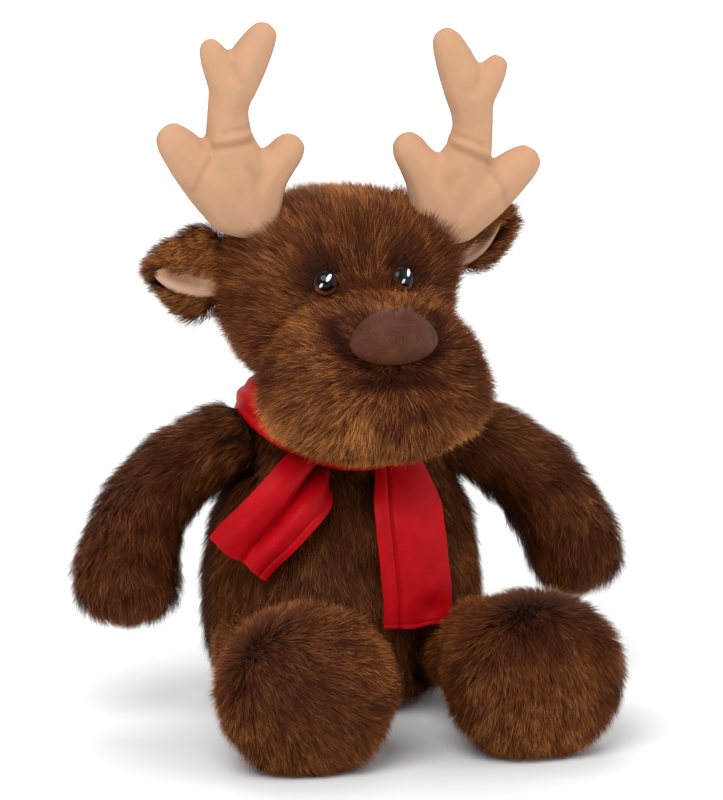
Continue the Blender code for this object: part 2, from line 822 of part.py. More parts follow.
def main():
    clear_scene()
    fur = finish("brown_fur", (0.115, 0.050, 0.022), 0.85, 0.3)
    sole_fur = finish("sole_fur", (0.135, 0.062, 0.028), 0.85, 0.3)
    velour = finish("tan_velour", (0.560, 0.345, 0.210), 0.80, 0.4)
    lining = finish("ear_lining", (0.520, 0.310, 0.190), 0.80, 0.4)
    satin = finish("red_satin", (0.480, 0.008, 0.016), 0.45, 0.1)
    nose_cloth = finish("nose_cloth", (0.030, 0.014, 0.010), 0.40)
    eye_plastic = finish("eye_plastic", (0.010, 0.006, 0.005), 0.08)
    washer_plastic = finish("washer_plastic", (0.750, 0.750, 0.720), 0.50)
    fibre = finish("fibre_filling", (0.850, 0.850, 0.830), 0.95)

    far = Vector((1, 1, 1)) * (torso_height * 3)
    floor = box_guide("floor_guide", -far, Vector((far.x, far.y, 0)))

    torso = torso_form()
    skull = skull_form()
    muzzle = muzzle_form()
    torso_guard = grown(torso, seam_gap, "torso_guard")
    skull_guard = grown(skull, seam_gap, "skull_guard")

    # The neck seam: a level cut above the torso and below the skull
    above_neck = box_guide("above_neck", Vector((-far.x, -far.y, torso_height)), far)
    below_neck = box_guide("below_neck", -far, Vector((far.x, far.y,
                                                       torso_height + seam_gap)))
    neck = joint_empty("neck_turn", Vector((0, 0, torso_height)), Vector((0, 0, 1)))

    # Torso
    torso_cover, torso_filling = limb_pieces("torso_cover", torso, cover_wall, fur, fibre)
    for piece in (torso_cover, torso_filling):
        cut(piece, floor, above_neck)

    # Head
    head_cover = form_copy("head_cover", skull, fur)
    skull_hollow = grown(skull, -cover_wall, "skull_hollow")
    muzzle_hollow = grown(muzzle, -cover_wall, "muzzle_hollow")
    cut(head_cover, skull_hollow, muzzle_hollow, below_neck)
    muzzle_cover = form_copy("muzzle_cover", muzzle, fur)
    cut(muzzle_cover, muzzle_hollow, skull_guard)
    head_filling = filling_of(skull, cover_wall + seam_gap, "head_filling", fibre)
    muzzle_filling = grown(muzzle, -(cover_wall + seam_gap), "muzzle_filling_form")
    apply_boolean(head_filling, muzzle_filling, "UNION")
    cut(head_filling, below_neck)

    nose = new_piece("nose", nose_form(), nose_cloth)
    cut(nose, grown(muzzle, seam_gap, "muzzle_seat"))
    head_pieces = [head_cover, muzzle_cover, head_filling, nose]
    for side in (1, -1):
        hole, pocket = eye_cutters(side)
        cut(head_cover, hole)
        cut(head_filling, pocket)
        head_pieces += [eye_button(side, eye_plastic), eye_washer(side, washer_plastic)]
        head_pieces += antler_pieces(side, velour, fibre, skull_guard)
    ride_on(head_pieces, neck)

    for side in (1, -1):
        _, _, line = ear_frame(side)
        hinge = joint_empty("ear_fold_" + side_name(side), ear_pivot(side), line, neck)
        ride_on(ear_pieces(side, fur, lining), hinge)

    # Arms
    sockets = []
    for side in (1, -1):
        label = side_name(side)
        form = arm_form(side)
        cover, filling = limb_pieces("arm_cover_" + label, form, cover_wall, fur, fibre)
        root = shoulder_place(side)
        axis = arm_axis(side)
        mouth = rod_guide("arm_mouth_" + label, root - axis * overrun, axis,
                          arm_mouth_radius, overrun + arm_mouth_depth, limb_sides)
        cut(cover, mouth)
        socket = rod_guide("shoulder_socket_" + label, root - axis * seam_gap, axis,
                           shoulder_radius + shoulder_gap, overrun * 2, socket_sides)
        cut(torso_cover, socket)
        cut(torso_filling, socket)
        sockets.append(socket)
        ride_on([cover, filling], joint_empty("arm_swing_" + label, root, axis))

    # Legs and feet
    for side in (1, -1):
        label = side_name(side)
        form = leg_form(side)
        hip = hip_place(side)
        way = leg_way(side)
        cover, filling = limb_pieces("leg_cover_" + label, form, cover_wall, fur, fibre)
        sole = form_copy("sole_" + label, form, sole_fur)
        cut(sole, bpy.data.objects["leg_cover_" + label + "_hollow"])
        seam = hip + way * (leg_length - sole_depth)
        front = rod_guide("sole_front_" + label, seam, way, foot_half_width * 2,
                          sole_depth + overrun, limb_sides)
        behind = rod_guide("sole_behind_" + label, seam + way * seam_gap, -way,
                           foot_half_width * 2, leg_length + overrun * 2, limb_sides)
        mouth = rod_guide("leg_mouth_" + label, hip - way * (hip_radius + overrun), way,
                          leg_mouth_radius, overrun + hip_radius / 2, limb_sides)
        cut(cover, front, mouth, floor)
        cut(sole, behind, floor)
        passage = rod_guide("leg_passage_" + label, hip, way, leg_passage_radius, leg_length,
                            body_sides)
        ball = ball_guide("hip_ball_" + label, hip, hip_radius + hip_gap, body_sides)
        cut(torso_cover, passage, ball)
        cut(torso_filling, passage, ball)
        ride_on([cover, filling, sole], joint_empty("leg_swing_" + label, hip,
                                                    Vector((0, 0, 1))))

    tail_piece(fur, torso_guard)

    # The scarf keeps clear of the torso, the shoulders and the head as it turns
    muzzle_guard = grown(muzzle, seam_gap, "muzzle_guard")
    neighbours = [torso_guard, muzzle_guard] + sockets
    for degrees in (-neck_turn_deg, neck_turn_deg):
        neighbours.append(turned_guide(muzzle_guard, degrees,
                                       "muzzle_turned_%+d" % round(degrees)))
    scarf_piece(satin, neighbours)


main()
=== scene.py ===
"""The looks of a sitting plush deer: long brown pile, velour antlers, button eyes, satin scarf.

Metres, +Z up. The deer faces -Y and its own left side is at +X.
"""

import contextlib
import itertools
import json
import math

import bmesh
import bpy
import numpy as np
from mathutils import Matrix, Vector
from mathutils.bvhtree import BVHTree


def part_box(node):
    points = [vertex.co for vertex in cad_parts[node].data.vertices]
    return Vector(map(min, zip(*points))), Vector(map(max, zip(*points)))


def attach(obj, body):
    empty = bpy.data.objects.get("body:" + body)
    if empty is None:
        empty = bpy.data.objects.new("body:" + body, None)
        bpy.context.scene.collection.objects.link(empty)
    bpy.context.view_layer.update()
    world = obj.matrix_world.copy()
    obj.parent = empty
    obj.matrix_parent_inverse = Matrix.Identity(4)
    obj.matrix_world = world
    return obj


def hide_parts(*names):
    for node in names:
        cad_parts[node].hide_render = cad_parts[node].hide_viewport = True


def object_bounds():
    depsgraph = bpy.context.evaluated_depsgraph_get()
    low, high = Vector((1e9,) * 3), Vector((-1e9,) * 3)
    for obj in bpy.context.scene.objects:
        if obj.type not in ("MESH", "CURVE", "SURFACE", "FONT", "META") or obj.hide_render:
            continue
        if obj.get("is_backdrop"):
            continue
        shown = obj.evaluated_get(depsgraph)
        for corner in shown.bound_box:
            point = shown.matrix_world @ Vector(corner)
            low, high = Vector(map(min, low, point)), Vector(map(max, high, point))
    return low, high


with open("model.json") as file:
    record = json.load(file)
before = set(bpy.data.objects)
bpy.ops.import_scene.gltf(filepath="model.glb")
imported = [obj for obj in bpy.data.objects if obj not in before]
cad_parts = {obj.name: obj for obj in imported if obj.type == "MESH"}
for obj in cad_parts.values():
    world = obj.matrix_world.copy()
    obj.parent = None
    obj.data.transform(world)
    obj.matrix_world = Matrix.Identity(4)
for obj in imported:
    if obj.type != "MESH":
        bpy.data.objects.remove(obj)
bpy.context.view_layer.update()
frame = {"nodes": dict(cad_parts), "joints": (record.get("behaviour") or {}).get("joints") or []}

SIDES = (("left", 1), ("right", -1))

# Studio
sight_azimuth = math.radians(-17.0)
sight_elevation = math.radians(12.0)
sight_distance = 6.0
sight_lens = 409.0
sight_target = Vector((0.0267, 0.0342, 0.1904))

pile_density = 1.65e6
strand_half_width = 0.00017
floor_clear = 0.0003
root_clear = 0.0012

# Tufts: their size, and how much of the way to its tuft's middle a strand is drawn
tuft_size = 0.0042
tuft_pull_middle = 0.10
tuft_pull_tip = 0.34

# How a strand strays sideways, in radians: by small and large clouds, its tuft and chance
stray_small, stray_large, stray_tuft, stray_own = 0.26, 0.34, 0.36, 0.17
# How much more or less it rises, in degrees: by its tuft, clouds, and chance at root and tip
rise_tuft, rise_cloud, rise_root, rise_tip = 15, 8, 6, 9
# Its length: the change by clouds, the range by chance, and the few that stand out
length_cloud = 0.10
length_range = (0.72, 1.06)
long_share, long_factor = 0.08, 1.14
# Its tone: the middle, and the change by large and small clouds, its tuft and chance
tone_middle = 0.47
tone_large, tone_small, tone_tuft, tone_own = 0.18, 0.13, 0.14, 0.17

# Under-cloth: how far below the CAD form the pile is rooted
cloth_voxel = 0.003
torso_inset = 0.0055
head_inset = 0.0060
arm_inset = 0.0062
leg_inset = 0.0030
tail_inset = 0.0030
ear_inset = 0.0012
small_voxel = 0.002

# How far the chin's under-cloth is raised, because the pile hangs from it
chin_rise = 0.0045

# Scarf
scarf_thickness = 0.0014

# Nose and eyes, where the CAD has them
nose_centre = Vector((0, -0.1245, 0.2640))
nose_half = Vector((0.0290, 0.0140, 0.0195))
eye_radius = 0.0083
eye_dome = 0.0056
eye_rim = 0.0012
eye_back = 0.004
eye_seat = 0.0006
dome_steps = 12
eye_turn = math.radians(18.0)
eye_lift = math.radians(13.0)


# Materials

class Wire:
    """A socket that takes part in sums: each operator adds one Math node."""

    def __init__(self, finish, socket):
        self.finish = finish
        self.socket = socket

    def joined(self, operation, first, second):
        """The result of one Math node."""
        return self.finish.node("ShaderNodeMath", {"operation": operation},
                                {0: first, 1: second})

    def __add__(self, other):
        return self.joined("ADD", self, other)

    def __sub__(self, other):
        return self.joined("SUBTRACT", self, other)

    def __mul__(self, other):
        return self.joined("MULTIPLY", self, other)

    def __truediv__(self, other):
        return self.joined("DIVIDE", self, other)

    def __pow__(self, other):
        return self.joined("POWER", self, other)

    def __radd__(self, other):
        return self.joined("ADD", other, self)

    def __rsub__(self, other):
        return self.joined("SUBTRACT", other, self)

    def __rmul__(self, other):
        return self.joined("MULTIPLY", other, self)

    def __rtruediv__(self, other):
        return self.joined("DIVIDE", other, self)


class Finish:
    """A Principled material whose parts are added one node at a time."""

    def __init__(self, name, colour, roughness, sheen=0.0, specular=0.5):
        self.material = bpy.data.materials.new(name)
        self.material.use_nodes = True
        self.tree = self.material.node_tree
        self.shader = self.tree.nodes["Principled BSDF"]
        settings = {"Base Color": (*colour, 1), "Roughness": roughness, "Metallic": 0.0,
                    "Sheen Weight": sheen, "Specular IOR Level": specular}
        for socket, value in settings.items():
            self.shader.inputs[socket].default_value = value

    def node(self, kind, settings=None, inputs=None, output=0):
        """Adds a node: its settings first, then the values or links of its sockets."""
        made = self.tree.nodes.new(kind)
        for key, value in (settings or {}).items():
            setattr(made, key, value)
        for key, value in (inputs or {}).items():
            if isinstance(value, Wire):
                self.tree.links.new(value.socket, made.inputs[key])
            else:
                made.inputs[key].default_value = value
        return Wire(self, made.outputs[output])

    def attribute(self, name):
        """A number that the mesh carries at each point."""
        return self.node("ShaderNodeAttribute", {"attribute_name": name}, output="Fac")

    def place(self):
        """Where a point lies, in the object's own frame."""
        return self.node("ShaderNodeTexCoord", output="Object")

    def noise(self, scale, detail=2.0, vector=None):
        """Noise from 0 to 1."""
        return self.node("ShaderNodeTexNoise", {"noise_dimensions": "3D"},
                         {"Vector": vector or self.place(), "Scale": scale, "Detail": detail})

    def stretched(self, scale):
        """The place, scaled on its own along each axis."""
        return self.node("ShaderNodeMapping", {}, {"Vector": self.place(), "Scale": scale})

    def spread(self, value, low, high, new_low=0.0, new_high=1.0):
        """A value eased from one range into another."""
        return self.node("ShaderNodeMapRange", {"interpolation_type": "SMOOTHSTEP"},
                         {"Value": value, "From Min": low, "From Max": high,
                          "To Min": new_low, "To Max": new_high})

    def mixed(self, share, first, second):
        """A mix of two colours."""
        colours = [value if isinstance(value, Wire) else (*value, 1)
                   for value in (first, second)]
        return self.node("ShaderNodeMix", {"data_type": "RGBA"},
                         {0: share, 6: colours[0], 7: colours[1]}, output=2)

    def bump(self, height, distance, strength=1.0):
        """A normal that follows a height."""
        return self.node("ShaderNodeBump", {}, {"Height": height, "Distance": distance,
                                                "Strength": strength})

    def set(self, **links):
        """Links sockets of the shader, by their names with _ for a space."""
        for key, wire in links.items():
            self.tree.links.new(wire.socket, self.shader.inputs[key.replace("_", " ")])
        return self.material


def pile_finish(name, roots, middle, tips):
    """Long pile: dark between the strands and lighter at their tips."""
    finish = Finish(name, middle, 0.60, specular=0.09)
    along = finish.attribute("along")
    tone = finish.attribute("tone")
    lower = finish.mixed(finish.spread(along, 0.0, 0.55), roots, middle)
    strand = finish.mixed(finish.spread(along * (0.35 + tone), 0.52, 1.12), lower, tips)
    # Low tone darkens a strand: it carries the tone that differs at random, the airbrushed marks
    # and the painted shade from torso_tone and face_tone
    shade = finish.mixed(finish.spread(tone, 0.0, 0.5), (0.22, 0.19, 0.18), (1, 1, 1))
    colour = finish.node("ShaderNodeMix", {"data_type": "RGBA", "blend_type": "MULTIPLY"},
                         {0: 1.0, 6: strand, 7: shade}, output=2)
    return finish.set(Base_Color=colour)


def cloth_finish():
    """The dark knitted cloth that the pile stands on."""
    finish = Finish("pile_backing", (0.022, 0.008, 0.004), 0.9, specular=0.1)
    grain = finish.noise(900.0, 3.0)
    colour = finish.mixed(grain, (0.012, 0.004, 0.002), (0.040, 0.014, 0.006))
    return finish.set(Base_Color=colour, Normal=finish.bump(grain, 0.0004))


def velour_finish(name, light, deep):
    """Short-napped velour, with painted shade in its creases, hollows, seams and edges."""
    finish = Finish(name, light, 0.85, sheen=0.10, specular=0.12)
    nap = finish.noise(1500.0, 3.0)
    cloud = finish.noise(70.0, 3.0)
    # Painted shade: the mesh's share darkens the velour towards its second colour
    painted_shade = finish.attribute("painted_shade")
    share = finish.spread(painted_shade * 0.42 + cloud * 0.34 + nap * 0.22, 0.18, 1.15)
    height = nap + finish.noise(420.0, 2.0) * 0.6
    return finish.set(Base_Color=finish.mixed(share, light, deep),
                      Normal=finish.bump(height, 0.00035, 0.7))


def satin_finish():
    """Red satin: fine threads across, and a soft shine."""
    finish = Finish("red_satin", (0.40, 0.004, 0.009), 0.46, specular=0.09)
    threads = finish.noise(1.0, 2.0, finish.stretched((2600, 2600, 500)))
    cloud = finish.noise(60.0, 2.0)
    share = finish.spread(threads * 0.5 + cloud * 0.5, 0.3, 0.75)
    colour = finish.mixed(share, (0.360, 0.0012, 0.004), (0.530, 0.0030, 0.008))
    rough = finish.spread(threads, 0.2, 0.8, 0.38, 0.54)
    return finish.set(Base_Color=colour, Roughness=rough,
                      Normal=finish.bump(threads, 0.00012, 0.6))


def nose_finish():
    """Smooth dark cloth with a fine upright weave."""
    finish = Finish("nose_cloth", (0.085, 0.0270, 0.0130), 0.40, specular=0.13)
    weave = finish.noise(1.0, 2.0, finish.stretched((2600, 2600, 300)))
    cloud = finish.noise(90.0, 2.0)
    share = finish.spread(weave * 0.65 + cloud * 0.35, 0.25, 0.75)
    colour = finish.mixed(share, (0.042, 0.0115, 0.0050), (0.125, 0.0390, 0.0180))
    return finish.set(Base_Color=colour, Normal=finish.bump(weave + cloud * 0.5, 0.0003, 0.9))


def eye_finish():
    """A clear dome over a printed black pupil, a brown rim and two oval lights."""
    finish = Finish("eye_plastic", (0.004, 0.003, 0.003), 0.10, specular=0.20)
    split = finish.tree.nodes.new("ShaderNodeSeparateXYZ")
    finish.tree.links.new(finish.node("ShaderNodeUVMap", {"uv_map": "face"}).socket,
                          split.inputs[0])
    across = Wire(finish, split.outputs[0])
    up = Wire(finish, split.outputs[1])

    def oval(sideways, x, y, wide, high, soft):
        """1 in an oval, with a soft edge."""
        far = ((sideways - x) / wide) ** 2.0 + ((up - y) / high) ** 2.0
        return finish.spread(far, 1 + soft, 1 - soft)

    iris = finish.mixed(finish.spread(up, -0.10, -0.80), (0.030, 0.010, 0.006),
                        (0.210, 0.055, 0.028))
    pupil = oval(across, 0.06, 0.12, 0.76, 0.84, 0.25)
    face = finish.mixed(pupil, iris, (0.002, 0.0025, 0.003))
    slant = across - up * 0.45
    large = oval(slant, 0.10, 0.38, 0.17, 0.30, 0.2)
    small = oval(slant, -0.22, -0.22, 0.12, 0.17, 0.2)
    face = finish.mixed(large, face, (0.90, 0.90, 0.88))
    face = finish.mixed(small, face, (0.80, 0.78, 0.76))
    return finish.set(Base_Color=face)


def washer_finish():
    """Grey moulded plastic."""
    finish = Finish("washer_plastic", (0.10, 0.10, 0.10), 0.5)
    grain = finish.noise(700.0, 2.0)
    return finish.set(Base_Color=finish.mixed(grain, (0.08, 0.08, 0.08), (0.13, 0.13, 0.13)),
                      Normal=finish.bump(grain, 0.0002, 0.5))


brown_pile = pile_finish("brown_pile", (0.012, 0.0030, 0.0012), (0.114, 0.0262, 0.0062),
                         (0.800, 0.315, 0.086))
backing = cloth_finish()
# The second colour of each velour is used both for its mottling and for its painted shade
antler_velour = velour_finish("antler_velour", (0.570, 0.322, 0.190), (0.235, 0.098, 0.042))
lining_velour = velour_finish("lining_velour", (0.610, 0.365, 0.245), (0.210, 0.090, 0.052))
satin = satin_finish()
nose_cloth = nose_finish()
eye_plastic = eye_finish()
washer_plastic = washer_finish()


# Numbers over many points at once

def hashed(cells, seed):
    """A number from 0 to 1 for each whole-number cell, the same on every run."""
    mixed = (cells.astype(np.int64) * np.array((73856093, 19349663, 83492791))).sum(-1)
    mixed = (mixed + seed * 40503) & 0xFFFFFFFF
    for shift, factor in ((16, 0x45D9F3B), (15, 0x2C1B3C6D)):
        mixed = ((mixed ^ (mixed >> shift)) * factor) & 0xFFFFFFFF
    return (mixed ^ (mixed >> 16)) / 0xFFFFFFFF


def cloudy(points, size, seed):
    """Smooth noise from -1 to 1 whose clouds have one size."""
    scaled = points / size
    base = np.floor(scaled)
    part = scaled - base
    part = part * part * (3 - 2 * part)
    total = np.zeros(len(points))
    for corner in itertools.product((0, 1), repeat=3):
        picked = np.array(corner)
        weight = np.where(picked, part, 1 - part).prod(1)
        total += weight * hashed(base + picked, seed)
    return total * 2 - 1


def tufts(points, size, seed):
    """The middle of the tuft that each point belongs to, and two numbers of that tuft."""
    base = np.floor(points / size)
    best = np.full(len(points), np.inf)
    centre = np.zeros_like(points)
    own = np.zeros((len(points), 2))
    for offset in itertools.product((-1, 0, 1), repeat=3):
        cell = base + np.array(offset)
        jitter = np.stack([hashed(cell, seed + step) for step in (1, 2, 3)], 1)
        place = (cell + jitter) * size
        gap = ((points - place) ** 2).sum(1)
        closer = gap < best
        best[closer] = gap[closer]
        centre[closer] = place[closer]
        own[closer] = np.stack([hashed(cell[closer], seed + 4),
                                hashed(cell[closer], seed + 5)], 1)
    return centre, own


def unit(vectors):
    """The vectors at length 1."""
    return vectors / np.maximum(np.linalg.norm(vectors, axis=-1, keepdims=True), 1e-9)


def ease(values, low, high):
    """0 below low and 1 above high, with a smooth way between."""
    share = np.clip((values - low) / (high - low), 0, 1)
    return share * share * (3 - 2 * share)


# Meshes

def placed(name, data):
    """A new object, linked to the scene."""
    made = bpy.data.objects.new(name, data)
    bpy.context.scene.collection.objects.link(made)
    return made


def new_piece(name, shape, material):
    """A piece at the origin from a bmesh."""
    mesh = bpy.data.meshes.new(name)
    shape.to_mesh(mesh)
    shape.free()
    mesh.shade_smooth()
    mesh.materials.append(material)
    return placed(name, mesh)


@contextlib.contextmanager
def reshaped(piece):
    """A piece's mesh as a bmesh, which is written back afterwards."""
    shape = bmesh.new()
    shape.from_mesh(piece.data)
    shape.normal_update()
    yield shape
    shape.normal_update()
    shape.to_mesh(piece.data)
    shape.free()
    piece.data.shade_smooth()


def merged_copy(*nodes):
    """One bmesh of several CAD nodes, with the loose triangles joined."""
    shape = bmesh.new()
    for node in nodes:
        shape.from_mesh(frame["nodes"][node].data)
    bmesh.ops.remove_doubles(shape, verts=shape.verts, dist=1e-6)
    return shape


def outer_shell(shape):
    """Keeps the largest of a bmesh's separate shells."""
    left = set(shape.verts)
    shells = []
    while left:
        start = left.pop()
        shell = {start}
        queue = [start]
        while queue:
            for edge in queue.pop().link_edges:
                for vert in edge.verts:
                    if vert not in shell:
                        shell.add(vert)
                        queue.append(vert)
        left -= shell
        shells.append(shell)
    keep = max(shells, key=len)
    bmesh.ops.delete(shape, geom=[vert for vert in shape.verts if vert not in keep],
                     context="VERTS")


def remeshed(name, nodes, voxel, smoothing, material):
    """A soft closed form over CAD nodes: remeshed, its outer shell kept and smoothed."""
    piece = new_piece(name, merged_copy(*nodes), material)
    step = piece.modifiers.new("remesh", "REMESH")
    step.mode = "VOXEL"
    step.voxel_size = voxel
    bpy.context.view_layer.update()
    made = bpy.data.meshes.new_from_object(
        piece.evaluated_get(bpy.context.evaluated_depsgraph_get()))
    piece.modifiers.clear()
    shape = bmesh.new()
    shape.from_mesh(made)
    bpy.data.meshes.remove(made)
    outer_shell(shape)
    for _ in range(smoothing):
        bmesh.ops.smooth_vert(shape, verts=shape.verts, factor=0.5, use_axis_x=True,
                              use_axis_y=True, use_axis_z=True)
    shape.normal_update()
    shape.to_mesh(piece.data)
    shape.free()
    piece.data.shade_smooth()
    return piece


def sunk(piece, depth):
    """Moves a form's surface inwards, and keeps it off the floor."""
    with reshaped(piece) as shape:
        for vert in shape.verts:
            vert.co += vert.normal * -depth
            vert.co.z = max(vert.co.z, floor_clear)
    return piece


def surface_of(piece):
    """A piece's points, normals and triangles as arrays."""
    mesh = piece.data
    mesh.calc_loop_triangles()
    points = np.zeros(len(mesh.vertices) * 3)
    mesh.vertices.foreach_get("co", points)
    normals = np.zeros(len(mesh.vertices) * 3)
    mesh.vertices.foreach_get("normal", normals)
    corners = np.zeros(len(mesh.loop_triangles) * 3, np.int32)
    mesh.loop_triangles.foreach_get("vertices", corners)
    return points.reshape(-1, 3), normals.reshape(-1, 3), corners.reshape(-1, 3)


def tree_of(piece):
    """A piece's faces, ready for searches."""
    mesh = piece.data
    return BVHTree.FromPolygons([vert.co for vert in mesh.vertices],
                                [face.vertices for face in mesh.polygons])


def scattered(piece, density, seed):
    """Roots spread evenly over a piece, with the surface's way out at each."""
    points, normals, corners = surface_of(piece)
    a, b, c = (points[corners[:, index]] for index in range(3))
    areas = np.linalg.norm(np.cross(b - a, c - a), axis=1) / 2
    reach = np.cumsum(areas)
    count = int(reach[-1] * density)
    draw = np.random.default_rng(seed)
    picks = np.searchsorted(reach, (np.arange(count) + draw.random(count)) / count * reach[-1])
    picks = np.minimum(picks, len(corners) - 1)
    first, second = draw.random(count), draw.random(count)
    over = first + second > 1
    first[over], second[over] = 1 - first[over], 1 - second[over]
    shares = np.stack((1 - first - second, first, second), 1)[:, :, None]
    roots = (points[corners[picks]] * shares).sum(1)
    ways = unit((normals[corners[picks]] * shares).sum(1))
    return roots, ways, draw


def inside(tree, low, high, roots):
    """Which roots lie inside a closed neighbour."""
    near = ((roots > low) & (roots < high)).all(1)
    hidden = np.zeros(len(roots), bool)
    for index in np.flatnonzero(near):
        place = Vector(roots[index])
        found, normal, _, _ = tree.find_nearest(place)
        hidden[index] = found is not None and (place - found).dot(normal) < 0
    return hidden


def blade():
    """One strand: a strip that narrows to its tip. Its x is the side and its y the way along."""
    shape = bmesh.new()
    bmesh.ops.create_grid(shape, x_segments=1, y_segments=2, size=0.5)
    bmesh.ops.translate(shape, vec=(0, 0.5, 0), verts=shape.verts)
    tips = [vert for vert in shape.verts if vert.co.y > 0.9]
    bmesh.ops.pointmerge(shape, verts=tips, merge_co=(0, 1, 0))
    for vert in shape.verts:
        vert.co.x *= 2 if vert.co.y < 0.1 else 1.5
    mesh = bpy.data.meshes.new("strand")
    shape.to_mesh(mesh)
    shape.free()
    return mesh


strand_mesh = blade()
strand_points = np.array([vert.co[:2] for vert in strand_mesh.vertices])
strand_faces = [list(face.vertices) for face in strand_mesh.polygons]


def strands(name, body, roots, middles, tips, across, ways, tone):
    """A piece of many strands, each the one blade bent along its own line."""
    count, verts = len(roots), len(strand_points)
    side, along = strand_points[:, 0], strand_points[:, 1]
    low = np.clip(along * 2, 0, 1)[None, :, None]
    high = np.clip(along * 2 - 1, 0, 1)[None, :, None]
    line = (roots[:, None] + (middles - roots)[:, None] * low + (tips - middles)[:, None] * high)
    line = line + across[:, None] * (side * strand_half_width)[None, :, None]
    line[:, :, 2] = np.maximum(line[:, :, 2], floor_clear)
    corners = np.concatenate([np.array(face) for face in strand_faces])
    sizes = np.array([len(face) for face in strand_faces])
    loops = (np.arange(count)[:, None] * verts + corners[None]).ravel()
    totals = np.tile(sizes, count)
    mesh = bpy.data.meshes.new(name)
    mesh.vertices.add(count * verts)
    mesh.loops.add(len(loops))
    mesh.polygons.add(len(totals))
    mesh.vertices.foreach_set("co", line.astype(np.float32).ravel())
    mesh.loops.foreach_set("vertex_index", loops.astype(np.int32))
    starts = np.concatenate(([0], np.cumsum(totals)[:-1]))
    mesh.polygons.foreach_set("loop_start", starts.astype(np.int32))
    mesh.update(calc_edges=True)
    mesh.shade_smooth()
    along_all = np.tile(along, count)
    tone_all = np.repeat(tone, verts)
    for label, values in (("along", along_all), ("tone", tone_all)):
        layer = mesh.attributes.new(label, "FLOAT", "POINT")
        layer.data.foreach_set("value", values.astype(np.float32))
    chart = mesh.uv_layers.new(name="OFBake")
    spread = np.tile(side, count) * 0.002
    flat = np.stack((along_all, np.clip(tone_all + spread, 0, 1)), 1)[loops]
    chart.data.foreach_set("uv", flat.astype(np.float32).ravel())
    lean = unit(tips - roots)
    soft = unit(ways * 0.8 + unit(ways - lean * (ways * lean).sum(1, keepdims=True)) * 0.45
                + np.array((0, 0, 0.22)))
    mesh.normals_split_custom_set_from_vertices(np.repeat(soft, verts, 0))
    mesh.materials.append(brown_pile)
    piece = placed(name, mesh)
    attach(piece, body)


def pile(names, body, skin, comb, length, seed, tone_of=None, length_of=None,
         lift=(51.0, 18.0), hidden_by=(), skipped=None, split=None, density=1.0, rise_of=None):
    """Combed pile over an under-cloth.

    comb gives the way that the strands lie, and lift their rise in degrees at root and tip.
    split shares the strands out over the named pieces.
    """
    thin = 1.0
    roots, ways, draw = scattered(skin, pile_density * density * thin, seed)
    keep = roots[:, 2] > floor_clear + root_clear
    if skipped is not None:
        keep &= ~skipped(roots)
    for tree, low, high in hidden_by:
        keep[keep] = ~inside(tree, low, high, roots[keep])
    roots, ways = roots[keep], ways[keep]
    count = len(roots)
    centre, own = tufts(roots, tuft_size, seed)
    lie = comb(roots)
    lie = unit(lie - ways * (lie * ways).sum(1, keepdims=True))
    wander = (cloudy(roots, 0.009, seed + 11) * stray_small
              + cloudy(roots, 0.024, seed + 12) * stray_large)
    wander += (own[:, 0] - 0.5) * stray_tuft + draw.normal(0, stray_own, count)
    side = np.cross(ways, lie)
    lie = lie * np.cos(wander)[:, None] + side * np.sin(wander)[:, None]
    side = np.cross(ways, lie)
    rise = (own[:, 1] - 0.5) * rise_tuft + cloudy(roots, 0.016, seed + 13) * rise_cloud
    if rise_of is not None:
        rise += rise_of(roots)
    start = np.radians(np.clip(lift[0] + rise + draw.normal(0, rise_root, count), 8, 88))
    end = np.radians(np.clip(lift[1] + rise + draw.normal(0, rise_tip, count), 2, 80))
    size = length * (1 + length_cloud * cloudy(roots, 0.019, seed + 14))
    size *= draw.uniform(*length_range, count)
    size *= np.where(draw.random(count) < long_share, long_factor, 1.0)
    if length_of is not None:
        size *= length_of(roots)
    size = under_scarf(roots, ways, size)
    half = (size / 2)[:, None]
    middles = roots + half * (lie * np.cos(start)[:, None] + ways * np.sin(start)[:, None])
    tips = middles + half * (lie * np.cos(end)[:, None] + ways * np.sin(end)[:, None])
    pull = roots - centre
    pull -= ways * (pull * ways).sum(1, keepdims=True)
    pull *= np.minimum(1, size / length)[:, None]
    middles -= pull * tuft_pull_middle
    tips -= pull * tuft_pull_tip
    turn = draw.uniform(-1.0, 1.0, count)
    lean = unit(tips - roots)
    upright = np.cross(lean, side)
    across = unit(side * np.cos(turn)[:, None] + upright * np.sin(turn)[:, None])
    faces_in = (np.cross(across, lean) * ways).sum(1) < 0
    across[faces_in] *= -1
    tone = (tone_middle + tone_large * cloudy(roots, 0.022, seed + 15)
            + tone_small * cloudy(roots, 0.008, seed + 16)
            + (own[:, 0] - 0.5) * tone_tuft + draw.normal(0, tone_own, count))
    if tone_of is not None:
        tone = tone * tone_of(roots)
    tone = np.clip(tone, 0, 1)
    groups = split(roots) if split is not None else np.zeros(count, int)
    for index, name in enumerate(names):
        part = groups == index
        strands(name, body, roots[part], middles[part], tips[part], across[part], ways[part],
                tone[part])


# The scarf comes first, because the pile lies flat under it

def curve_point(points, share):
    """A point at a share of the way along a smooth curve through the points."""
    spans = len(points) - 1
    at = min(max(share, 0) * spans, spans - 1e-9)
    index = int(at)
    part = at - index
    before = points[max(index - 1, 0)]
    start, end = points[index], points[index + 1]
    after = points[min(index + 2, spans)]
    return 0.5 * (2 * start + (end - before) * part
                  + (2 * before - 5 * start + 4 * end - after) * part ** 2
                  + (3 * start - before - 3 * end + after) * part ** 3)


def bell(value, middle, width):
    """1 at the middle, falling to 0 on both sides of it."""
    return math.exp(-((value - middle) / width) ** 2)


